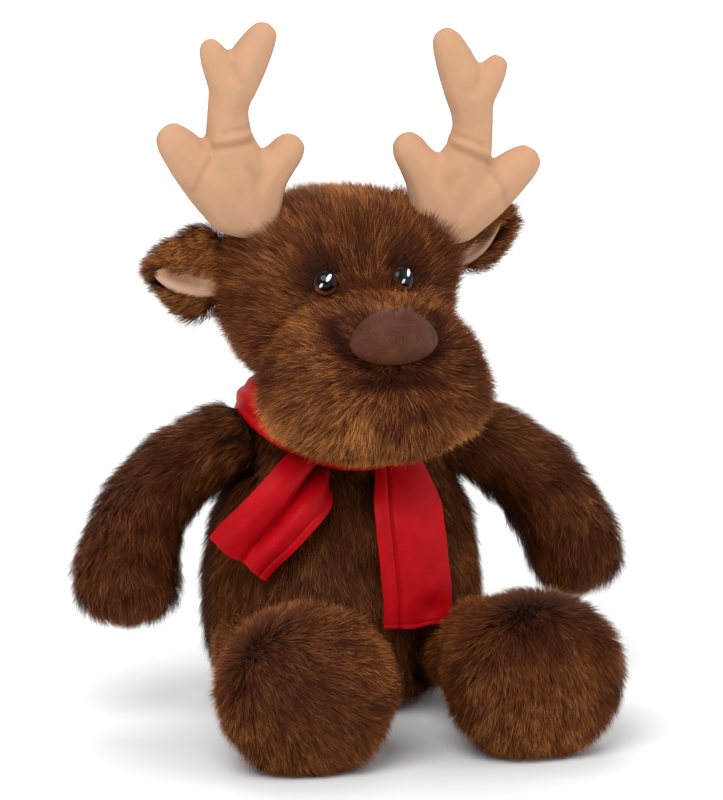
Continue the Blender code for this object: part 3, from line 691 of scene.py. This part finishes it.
def grid_sheet(name, columns, rows, place_of):
    """A sheet: a flat grid whose points are moved to their places, then given its thickness."""
    shape = bmesh.new()
    bmesh.ops.create_grid(shape, x_segments=columns, y_segments=rows, size=0.5)
    for vert in shape.verts:
        vert.co = place_of(vert.co.x, vert.co.y + 0.5)
    bmesh.ops.recalc_face_normals(shape, faces=shape.faces)
    piece = new_piece(name, shape, satin)
    wall = piece.modifiers.new("cloth", "SOLIDIFY")
    wall.thickness = scarf_thickness
    wall.offset = 0
    return piece


def left_folds(across, along):
    """The deer's left end: one straight crease near an edge, and a dent near the bottom."""
    lift = 0.0030 * (1 - (across * 2) ** 2) + 0.0012 * bell(across, 0.40, 0.10)
    lift -= 0.0030 * bell(across, 0.27, 0.030) * (1 - 0.25 * along)
    lift -= 0.0030 * bell(across, -0.18, 0.17) * bell(along, 0.86, 0.075)
    lift += 0.0010 * math.sin(across * 7 + 1.0) * along ** 2
    return lift - 0.0004 * bell(along, 0.955, 0.010)


def right_folds(across, along):
    """The deer's right end: a deep fold that fades downwards, and a seam by its inner edge."""
    fade = 1 - 0.80 * along
    valley = 0.02 - 0.12 * along
    lift = 0.0050 * bell(across, 0.26, 0.20) * (1 - 0.5 * along)
    lift -= 0.0125 * bell(across, valley, 0.070) * fade
    lift += 0.0040 * bell(across, valley - 0.20, 0.11) * fade
    lift -= 0.0011 * bell(across, -0.385, 0.018)
    lift += 0.0014 * (1 - (across * 2) ** 2) * along
    return lift - 0.0004 * bell(along, 0.955, 0.010)


# Each hanging end: its middle line, the turn of the cloth in degrees, its width, the share of
# the width at its top, and its folds
scarf_ends = {
    "left": (((.0215, -.0580, .176), (.0228, -.0765, .151), (.0226, -.0882, .129),
              (.0240, -.0934, .103), (.0250, -.0962, .0839), (.0250, -.0967, .0671)),
             8.0, 0.0490, 0.64, left_folds),
    "right": (((-.0290, -.0550, .1680), (-.0400, -.0715, .1640), (-.0558, -.0827, .1525),
               (-.0715, -.0815, .1360), (-.0820, -.0750, .1240), (-.0895, -.0705, .1135)),
              -14.0, 0.0470, 0.70, right_folds),
}


def scarf_end(label):
    """One hanging end, which widens below its top and has a wavy hem."""
    line, turn, width, top_share, folds = scarf_ends[label]
    points = [Vector(point) for point in line]
    face = Vector((math.sin(math.radians(turn)), -math.cos(math.radians(turn)), 0))

    def place_of(across, along):
        middle = curve_point(points, along)
        ahead = (curve_point(points, along + 0.14) - curve_point(points, along - 0.14))
        ahead.normalize()
        over = ahead.cross(face).normalized()
        out = over.cross(ahead).normalized()
        wide = width * (top_share + (1 - top_share) * float(ease(np.array(along), 0.0, 0.28)))
        hem = 0.0006 * math.sin(across * 11) * max(along - 0.9, 0) * 10
        return middle + over * (across * wide) + out * folds(across, along) + ahead * hem

    return grid_sheet("scarf_tail_" + label, 56, 110, place_of)


def scarf_wrap():
    """The gathered band round the neck, with pleats that run round it."""
    half_width, half_depth, height = 0.0595, 0.0500, 0.2048

    def place_of(across, along):
        angle = math.tau * along
        facing = max(-math.cos(angle), 0)
        out = Vector((math.sin(angle), math.cos(angle), 0))
        place = Vector((half_width * out.x, half_depth * out.y, height))
        place.y -= 0.011 * facing ** 2
        place.z -= 0.0335 * facing ** 1.5
        lean = math.radians(40.0) * (1 - 0.55 * facing)
        down = out * math.sin(lean) - Vector((0, 0, 1)) * math.cos(lean)
        thick = out * math.cos(lean) + Vector((0, 0, 1)) * math.sin(lean)
        crown = 0.0050 * (1 - (across * 2) ** 2)
        pleats = 0.0008 * math.sin(across * 15 + 1.6 * math.sin(angle * 2))
        band = 0.026 * (1 - 0.50 * facing ** 3)
        return place + down * (across * band) + thick * (crown + pleats)

    piece = grid_sheet("scarf_wrap", 48, 200, place_of)
    with reshaped(piece) as shape:
        bmesh.ops.remove_doubles(shape, verts=shape.verts, dist=1e-5)
    return piece


wrap = scarf_wrap()
tails = {label: scarf_end(label) for label, _ in SIDES}
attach(wrap, "torso")
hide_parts("scarf")
for label, tail in tails.items():
    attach(tail, "torso")

scarf_pieces = [wrap, *tails.values()]
scarf_trees = [tree_of(piece) for piece in scarf_pieces]
scarf_points = np.concatenate([surface_of(piece)[0] for piece in scarf_pieces])
scarf_low, scarf_high = scarf_points.min(0) - 0.02, scarf_points.max(0) + 0.02


def under_scarf(roots, ways, size):
    """Shortens the strands that would come up through the scarf."""
    look_back, reach, room_share, shortest = 0.006, 0.020, 0.95, 0.001
    near = ((roots > scarf_low) & (roots < scarf_high)).all(1)
    for index in np.flatnonzero(near):
        start = Vector(roots[index]) - Vector(ways[index]) * look_back
        for tree in scarf_trees:
            gap = tree.ray_cast(start, Vector(ways[index]), reach)[3]
            if gap is not None:
                size[index] = min(size[index], max((gap - look_back) * room_share, shortest))
    return size


# Under-cloth of every furry part

def skin(name, body, nodes, depth, voxel=cloth_voxel, smoothing=6, fill=0.8, move_of=None):
    """One under-cloth. move_of gives how far a place of it is moved after it is sunk in."""
    piece = sunk(remeshed(name, nodes, voxel, smoothing, backing), depth)
    if move_of is not None:
        with reshaped(piece) as shape:
            for vert in shape.verts:
                vert.co += move_of(vert.co)
    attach(piece, body)
    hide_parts(*nodes)
    return piece


def chin_move(place):
    """The pile hangs from the chin, so its under-cloth lies higher."""
    low = 1 - float(ease(np.array(place.z), 0.185, 0.225))
    front = 1 - float(ease(np.array(place.y), -0.060, -0.025))
    return Vector((0, 0, chin_rise * low * front))


torso_skin = skin("torso_skin", "torso", ["torso_cover", "torso_filling"], torso_inset)
head_skin = skin("head_skin", "head", ["head_cover", "head_filling", "muzzle_cover"],
                 head_inset, move_of=chin_move)
tail_skin = skin("tail_skin", "torso", ["tail"], tail_inset, small_voxel)
arm_skins = {}
leg_skins = {}
for label, _ in SIDES:
    arm_skins[label] = skin("arm_skin_" + label, "arm_" + label,
                            ["arm_cover_" + label, "arm_filling_" + label], arm_inset)
    leg_skins[label] = skin("leg_skin_" + label, "leg_" + label,
                            ["leg_cover_" + label, "leg_filling_" + label, "sole_" + label],
                            leg_inset, smoothing=36)


def guard_of(piece):
    """What hides the roots of a neighbour's pile."""
    points = surface_of(piece)[0]
    return tree_of(piece), points.min(0), points.max(0)


torso_guard = guard_of(torso_skin)
head_guard = guard_of(head_skin)
arm_guards = {label: guard_of(piece) for label, piece in arm_skins.items()}
leg_guards = {label: guard_of(piece) for label, piece in leg_skins.items()}


# Face: eyes and nose

eye_faces = {}
for label, sign in SIDES:
    low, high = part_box("eye_" + label)
    look = Vector((sign * math.sin(eye_turn) * math.cos(eye_lift),
                   -math.cos(eye_turn) * math.cos(eye_lift), math.sin(eye_lift)))
    eye_faces[label] = ((low + high) / 2 - look * eye_seat, look)


def eye(label):
    """A domed button, its front laid out on a map of its own for the printed eye."""
    middle, look = eye_faces[label]
    profile = [(0.0, -eye_back), (eye_radius * 0.9, -eye_back), (eye_radius, -eye_back / 2)]
    for step in range(dome_steps + 1):
        angle = math.pi / 2 * step / dome_steps
        profile.append((eye_radius * math.cos(angle), eye_rim + eye_dome * math.sin(angle)))
    shape = bmesh.new()
    verts = [shape.verts.new((radius, 0, height)) for radius, height in profile]
    edges = [shape.edges.new(pair) for pair in zip(verts, verts[1:])]
    bmesh.ops.spin(shape, geom=verts + edges, cent=(0, 0, 0), axis=(0, 0, 1), angle=math.tau,
                   steps=48, use_merge=True)
    bmesh.ops.remove_doubles(shape, verts=shape.verts, dist=1e-6)
    bmesh.ops.recalc_face_normals(shape, faces=shape.faces)
    chart = shape.loops.layers.uv.new("face")
    turn = look.to_track_quat("Z", "Y").to_matrix().to_4x4()
    for face in shape.faces:
        for loop in face.loops:
            loop[chart].uv = loop.vert.co.xy / eye_radius
    bmesh.ops.transform(shape, matrix=Matrix.Translation(middle) @ turn, verts=shape.verts)
    piece = new_piece("button_eye_" + label, shape, eye_plastic)
    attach(piece, "head")
    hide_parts("eye_" + label)


for label, _ in SIDES:
    eye(label)
    washer = frame["nodes"]["eye_washer_" + label].data
    washer.materials.clear()
    washer.materials.append(washer_plastic)


def padded_nose():
    """A stuffed cloth nose: domed above, flatter below, drawn in at its top and corners."""
    shape = bmesh.new()
    bmesh.ops.create_uvsphere(shape, u_segments=96, v_segments=64, radius=1)
    for vert in shape.verts:
        x, y, z = vert.co
        wide = 1 - 0.16 * z - 0.10 * max(-z, 0) ** 2
        lift = z * (0.86 if z < 0 else 1.0) + 0.10 * (1 - abs(x)) * max(z, 0)
        lift -= 0.15 * bell(x, 0.0, 0.11) * max(z, 0) ** 3
        swell = 1 - 0.16 * bell(x, 0.86, 0.12) - 0.12 * bell(x, -0.86, 0.12)
        swell -= 0.05 * bell(x, -0.34, 0.24) * bell(z, -0.34, 0.26)
        swell *= 1.5 if y > 0 else 1.0
        vert.co = nose_centre + Vector((x * wide * nose_half.x, y * swell * nose_half.y,
                                        lift * nose_half.z))
    bmesh.ops.recalc_face_normals(shape, faces=shape.faces)
    piece = new_piece("padded_nose", shape, nose_cloth)
    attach(piece, "head")
    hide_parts("nose")


padded_nose()


# Antlers

antler_root = Vector((0.058, -0.014, 0.315))
antler_rise = 0.145
antler_droop = {"left": 0.30, "right": 0.0}

# Creases as (out, up) shares of the rise: start, end, half width and depth, which presses the
# velour in and sets the painted shade there
antler_creases = (((0.075, 0.455), (0.245, 0.430), 0.017, 0.9),
                  ((0.080, 0.488), (0.235, 0.470), 0.015, -0.6),
                  ((0.085, 0.520), (0.205, 0.506), 0.014, 0.5),
                  ((0.255, 0.385), (0.300, 0.330), 0.015, 0.7),
                  ((0.300, 0.330), (0.330, 0.245), 0.016, 0.6),
                  ((0.085, 0.335), (0.045, 0.290), 0.024, 0.5),
                  ((0.170, 0.820), (0.160, 0.775), 0.017, 0.6),
                  ((0.160, 0.775), (0.130, 0.735), 0.018, 0.5))


def crease_depth(out, up):
    """How deep the strongest crease presses the velour in, at a place of an antler's face."""
    depth = 0.0
    for (x0, z0), (x1, z1), wide, deep in antler_creases:
        span = Vector((x1 - x0, z1 - z0))
        share = max(0.0, min(1.0, ((out - x0) * span.x + (up - z0) * span.y)
                             / span.length_squared))
        gap = math.hypot(out - x0 - span.x * share, up - z0 - span.y * share)
        pressed = bell(gap, 0.0, wide) * deep
        depth = pressed if abs(pressed) > abs(depth) else depth
    return depth


def antler(label, sign):
    """A stuffed velour antler: the flat halves meet in a seam along its outline."""
    nodes = ["antler_cover_" + label, "antler_filling_" + label]
    piece = remeshed("antler_" + label, nodes, 0.0016, 10, antler_velour)
    with reshaped(piece) as shape:
        layer = shape.verts.layers.float.new("painted_shade")
        for vert in shape.verts:
            out = (vert.co.x * sign - antler_root.x) / antler_rise
            up = (vert.co.z - antler_root.z) / antler_rise + antler_droop[label] * (out + 0.20)
            lean = abs(vert.normal.y)
            # Where the faces turn sideways near the outline, seam and rim paint shade into the
            # velour; seam also draws the cloth in
            seam = bell(lean, 0.0, 0.13)
            rim = bell(lean, 0.0, 0.55)
            depth = crease_depth(out, up) * float(ease(np.array(lean), 0.15, 0.6))
            # The share of painted shade: deepest in the pressed creases, along the seam and
            # towards the edges
            vert[layer] = max(0.0, min(1.0, depth * 0.7 + seam * 0.30 + rim * 0.42))
            # The foot of the antler goes back and inwards, under the pile of the head
            foot = float(ease(np.array(-up), -0.06, 0.16))
            vert.co += (vert.normal * (-0.0013 * depth - 0.0007 * seam)
                        + Vector((-sign * 0.013, 0.012, 0.010)) * foot)
    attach(piece, "head")
    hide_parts(*nodes)
    return piece


antlers = {label: antler(label, sign) for label, sign in SIDES}
antler_guards = [guard_of(piece) for piece in antlers.values()]


# Ears

# The lining of each ear: its length, its half height, how far below the middle it starts, and
# how far it rises to its tip
ear_leaves = {"left": (0.0450, 0.0068, -0.0130, 0.0130), "right": (0.0480, 0.0098, -0.0085, 0.0)}
# How much wider an ear's under-cloth is at its root, how far that reaches, and how much
# narrower it is at its tip
ear_root_swell = {"left": 0.35, "right": 0.95}
ear_root_reach = 0.034
ear_tip_taper = 0.12

ear_pivots = {}
for label, sign in SIDES:
    joint = [item for item in frame["joints"] if item["name"] == "ear_fold_" + label][0]
    line = Vector(joint["axis"]) * (1 if joint["axis"][2] > 0 else -1)
    out = Vector((0, sign, 0)).cross(line).normalized()
    ear_pivots[label] = (Vector(joint["pos_m"]), out, line)


def ear_lining(label):
    """The folded leaf of velour inside an ear, with a crease down its length and painted shade
    in its hollow.
    """
    pivot, out, line = ear_pivots[label]
    length, half, low, climb = ear_leaves[label]
    shape = bmesh.new()
    bmesh.ops.create_uvsphere(shape, u_segments=64, v_segments=40, radius=1)
    layer = shape.verts.layers.float.new("painted_shade")
    for vert in shape.verts:
        x, y, z = vert.co
        along = (x + 1) / 2
        tall = 0.55 + 0.45 * math.sin(math.pi * (0.15 + 0.75 * along))
        hollow = bell(z, 0.05, 0.42) * bell(x, 0.05, 0.75) if y < 0 else 0.0
        # Painted shade in the hollow of the leaf
        vert[layer] = hollow
        place = pivot + out * (length * along - 0.001)
        place += line * (z * half * tall + low + 0.0035 * bell(along, 1, 0.5)
                         + climb * along ** 2)
        place += Vector((0, -0.0050 + y * 0.0028 + 0.0036 * hollow, 0))
        vert.co = place
    bmesh.ops.recalc_face_normals(shape, faces=shape.faces)
    piece = new_piece("ear_leaf_" + label, shape, lining_velour)
    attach(piece, "ear_" + label)
    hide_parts("ear_lining_" + label)


def ear_mover(label):
    """What widens an ear towards its root, where its pile runs into the head's."""
    pivot, out, line = ear_pivots[label]

    def move_of(place):
        along = np.array((place - pivot).dot(out))
        swell = ear_root_swell[label] * (1 - ease(along, 0.0, ear_root_reach))
        swell -= ear_tip_taper * ease(along, ear_root_reach - 0.010, ear_root_reach + 0.014)
        return line * ((place - pivot).dot(line) * float(swell))
    return move_of


ear_skins = {}
for label, _ in SIDES:
    ear_skins[label] = skin("ear_skin_" + label, "ear_" + label, ["ear_back_" + label],
                            ear_inset, small_voxel, move_of=ear_mover(label))
    ear_lining(label)


# How the pile lies on each part

muzzle_tip = np.array((0.0, -0.137, 0.258))


def head_comb(roots):
    """From the tip of the muzzle backwards, and down at the back of the head."""
    away = unit(roots - muzzle_tip)
    behind = ease(roots[:, 1], -0.03, 0.05)[:, None]
    return away * (1 - 0.55 * behind) + np.array((0, 0.1, -1.0)) * behind


def down_comb(roots):
    """Straight down, and a little forwards."""
    return np.tile(np.array((0, -0.12, -1.0)), (len(roots), 1))


def line_comb(points):
    """Pile that follows a line: each root takes the way of the nearest stretch."""
    starts = np.array(points[:-1])
    spans = np.array(points[1:]) - starts

    def comb(roots):
        best = np.full(len(roots), np.inf)
        lie = np.zeros_like(roots)
        for start, span in zip(starts, spans):
            share = np.clip(((roots - start) @ span) / (span @ span), 0, 1)
            gap = np.linalg.norm(roots - start - share[:, None] * span, axis=1)
            closer = gap < best
            best[closer] = gap[closer]
            lie[closer] = unit(span[None])[0]
        return lie
    return comb


def distance(roots, place):
    """How far each root lies from a place."""
    return np.linalg.norm(roots - np.array(place), axis=1)


def beside(places, roots, low, high):
    """1 at the places, fading to 0 away from them."""
    near = np.zeros(len(roots))
    for place in places:
        near = np.maximum(near, 1 - ease(distance(roots, place), low, high))
    return near


def beside_ears(roots):
    """1 at the roots of the ears."""
    return beside([pivot for pivot, _, _ in ear_pivots.values()], roots, 0.016, 0.036)


def beside_antlers(roots):
    """1 round the foot of each antler."""
    feet = [(sign * 0.058, -0.014, 0.308) for _, sign in SIDES]
    return beside(feet, roots, 0.018, 0.042)


def face_length(roots):
    """Short pile round the nose and the eyes, long elsewhere."""
    far = distance(roots, nose_centre)
    share = 0.55 + 0.45 * ease(far, 0.022, 0.060)
    share *= 0.68 + 0.32 * ease(roots[:, 2], 0.180, 0.215)
    share *= 1 + np.maximum(0.35 * beside_ears(roots), 0.50 * beside_antlers(roots))
    for label, (middle, _) in eye_faces.items():
        gap = distance(roots, middle)
        least = np.where(roots[:, 2] < middle.z, 0.78 if label == "left" else 0.34, 0.32)
        share *= least + (1 - least) * ease(gap, 0.009, 0.020)
    return share


def face_tone(roots):
    """Darker round the eyes, airbrushed shade round the nose and the mouth, a golden chin, and
    painted shade at the sides of the face.
    """
    shade = np.ones(len(roots))
    for middle, _ in eye_faces.values():
        gap = distance(roots, middle)
        shade *= 1 - 0.65 * (1 - ease(gap, 0.009, 0.021))
    front = roots[:, 1] < -0.10
    ring = np.sqrt((roots[:, 0] / nose_half.x) ** 2
                   + ((roots[:, 2] - nose_centre.z) / nose_half.z) ** 2)
    rim = np.exp(-((ring - 1.02) / 0.16) ** 2)
    mouth_height = 0.2395 - 1.5 * roots[:, 0] ** 2
    mouth = np.exp(-(((roots[:, 2] - mouth_height) / 0.0042) ** 2
                     + (roots[:, 0] / 0.027) ** 4))
    shade *= 1 - np.where(front, np.maximum(0.75 * rim, 0.90 * mouth), 0)
    gold = 1 - ease(roots[:, 2], 0.19, 0.235)
    # Painted shade: the sides of the face are darker
    cheek_shade = ease(np.abs(roots[:, 0]), 0.030, 0.060) * (1 - gold)
    return shade * (1.08 + 0.26 * gold - 0.25 * cheek_shade - 0.04 * ease(roots[:, 2], 0.28, 0.33))


def in_nose(roots):
    """Which roots the nose covers."""
    scaled = (roots - np.array(nose_centre)) / (np.array(nose_half) * (0.80, 1.6, 0.80))
    return (scaled ** 2).sum(1) < 1


def in_eyes(roots):
    """Which roots the eyes cover."""
    hidden = np.zeros(len(roots), bool)
    for middle, _ in eye_faces.values():
        hidden |= distance(roots, middle) < eye_radius * 0.92
    return hidden


# Where the pieces of the head's and the torso's pile meet
muzzle_edge = -0.066
belly_edge = 0.090

pile(["skull_pile_front", "skull_pile_back", "muzzle_pile"], "head", head_skin, head_comb,
     0.0200, 101, tone_of=face_tone, length_of=face_length,
     rise_of=lambda roots: np.maximum(24 * beside_ears(roots), 14 * beside_antlers(roots)),
     hidden_by=[torso_guard] + antler_guards,
     skipped=lambda roots: in_nose(roots) | in_eyes(roots),
     split=lambda roots: np.where(roots[:, 1] < muzzle_edge, 2,
                                  np.where(roots[:, 1] < 0.0, 0, 1)))


def torso_tone(roots):
    """Darker than the head, with painted shade low down, and clouds."""
    # Painted shade: the tone falls towards the floor
    return (0.72 + 0.06 * ease(roots[:, 2], 0.05, 0.15)) * (1 + 0.16 * cloudy(roots, 0.030, 801))


def limb_tone(roots):
    """Between the torso and the head, with clouds."""
    return 0.83 + 0.12 * cloudy(roots, 0.026, 802)


pile(["torso_pile_front", "torso_pile_back", "belly_pile_front", "belly_pile_back"], "torso",
     torso_skin, down_comb, 0.0205, 202, tone_of=torso_tone,
     hidden_by=[head_guard, *arm_guards.values(), *leg_guards.values()],
     split=lambda roots: (roots[:, 1] > 0.0) + 2 * (roots[:, 2] < belly_edge))
pile(["tail_pile"], "torso", tail_skin, down_comb, 0.0120, 303, hidden_by=[torso_guard])

arm_line = ((.058, 0, .184), (.076, 0, .177), (.108, -.002, .162), (.132, -.008, .141),
            (.145, -.019, .119), (.152, -.029, .101), (.155, -.038, .085), (.156, -.042, .060))
# The sole's pile: where it flows from, high on one side of the sole, and the way it drifts
sole_source = {"left": (-0.008, 0, 0.034), "right": (-0.034, 0, 0.022)}
sole_drift = {"left": (0.10, 0, -0.65), "right": (0.46, 0, -0.50)}
# How far from the hip the sole's seam lies
sole_seam = 0.156


def arm_pile(label, sign, seed):
    """Pile of one arm, combed along it to the paw."""
    line = [(x * sign, y, z) for x, y, z in arm_line]
    pile(["arm_pile_" + label], "arm_" + label, arm_skins[label], line_comb(line), 0.0200,
         seed, tone_of=limb_tone, hidden_by=[torso_guard])


def leg_pile(label, sign, seed):
    """Pile of one leg, combed up it, and of its sole, which it runs across."""
    hip = np.array((sign * 0.066, -0.048, 0.044))
    foot = np.array((sign * 0.079, -0.214, 0.053))
    way = unit((foot - hip)[None])[0]
    source = foot + np.array(sole_source[label])
    drift = np.array(sole_drift[label])

    def front_of(roots, before, after=0.0):
        """0 on the leg and 1 on the sole, changing over a stretch before the seam."""
        return ease((roots - hip) @ way, sole_seam - before, sole_seam - after)

    def leg_comb(roots):
        front = front_of(roots, 0.026, 0.004)[:, None]
        away = roots - source
        away -= way * (away @ way)[:, None]
        near = ease(np.linalg.norm(away, axis=1), 0.0, 0.060)[:, None]
        return (drift - way) * (1 - front) + (unit(away) * near + drift) * front

    def leg_tone(roots):
        far = distance(roots, source)
        return 0.80 + front_of(roots, 0.020) * (0.22 * ease(far, 0.012, 0.050) - 0.12)

    pile(["leg_pile_" + label, "sole_pile_" + label], "leg_" + label, leg_skins[label],
         leg_comb, 0.0170, seed, tone_of=leg_tone,
         length_of=lambda roots: 1 - 0.12 * front_of(roots, 0.012), lift=(56.0, 26.0),
         hidden_by=[torso_guard],
         split=lambda roots: ((roots - hip) @ way > sole_seam - 0.004).astype(int))


def ear_pile(label, seed):
    """Pile of one ear, combed to its tip and left out under the lining."""
    pivot, out, line = (np.array(vector) for vector in ear_pivots[label])
    length, half, low, climb = ear_leaves[label]

    def ear_comb(roots):
        return np.tile(out, (len(roots), 1)) + np.array((0, 0, -0.25))

    def under_lining(roots):
        along = (roots - pivot) @ out
        over = (roots - pivot) @ line - low - climb * (along / length) ** 2
        return ((roots[:, 1] < pivot[1] - 0.001) & (over < half * 0.9) & (over > -half * 0.45)
                & (along > -0.001) & (along < length - 0.006))

    pile(["ear_pile_" + label], "ear_" + label, ear_skins[label], ear_comb, 0.0145,
         seed, tone_of=lambda roots: 1.12, skipped=under_lining, lift=(46.0, 16.0),
         hidden_by=[head_guard], density=1.9)


for step, (label, sign) in enumerate(SIDES):
    arm_pile(label, sign, 404 + step)
    leg_pile(label, sign, 505 + step)
    ear_pile(label, 606 + step)


# Studio

def studio():
    """A pale floor, soft light from the upper left front, and the camera."""
    shape = bmesh.new()
    bmesh.ops.create_grid(shape, x_segments=1, y_segments=1, size=40.0)
    finish = Finish("floor_paper", (0.86, 0.86, 0.86), 0.9)
    grain = finish.noise(40.0, 2.0)
    finish.set(Base_Color=finish.mixed(grain, (0.85, 0.85, 0.85), (0.87, 0.87, 0.87)))
    floor = new_piece("floor", shape, finish.material)
    floor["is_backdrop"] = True
    world = bpy.data.worlds.new("studio")
    world.use_nodes = True
    sky = world.node_tree.nodes["Background"].inputs
    sky["Color"].default_value = (1, 1, 1, 1)
    sky["Strength"].default_value = 0.60
    bpy.context.scene.world = world
    # Each light: where it shines from, how wide it looks in degrees, and its power
    for name, place, wide, power in (("key_light", (-0.9, -1.3, 1.7), 38.0, 1.9),
                                     ("fill_light", (1.3, -1.0, 0.9), 60.0, 0.58),
                                     ("top_light", (0.2, 1.2, 1.5), 50.0, 1.3)):
        lamp = bpy.data.lights.new(name, "SUN")
        lamp.angle = math.radians(wide)
        lamp.energy = power
        light = placed(name, lamp)
        light.location = place
        light.rotation_mode = "QUATERNION"
        light.rotation_quaternion = Vector(place).to_track_quat("Z", "Y")
    lens = bpy.data.cameras.new("camera")
    lens.sensor_width = 36
    lens.lens = sight_lens
    camera = placed("camera", lens)
    back = Vector((math.sin(sight_azimuth) * math.cos(sight_elevation),
                   -math.cos(sight_azimuth) * math.cos(sight_elevation),
                   math.sin(sight_elevation)))
    camera.location = sight_target + back * sight_distance
    camera.rotation_mode = "QUATERNION"
    camera.rotation_quaternion = back.to_track_quat("Z", "Y")
    bpy.context.scene.camera = camera
    bpy.context.scene.view_settings.view_transform = "Standard"


studio()

low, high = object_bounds()
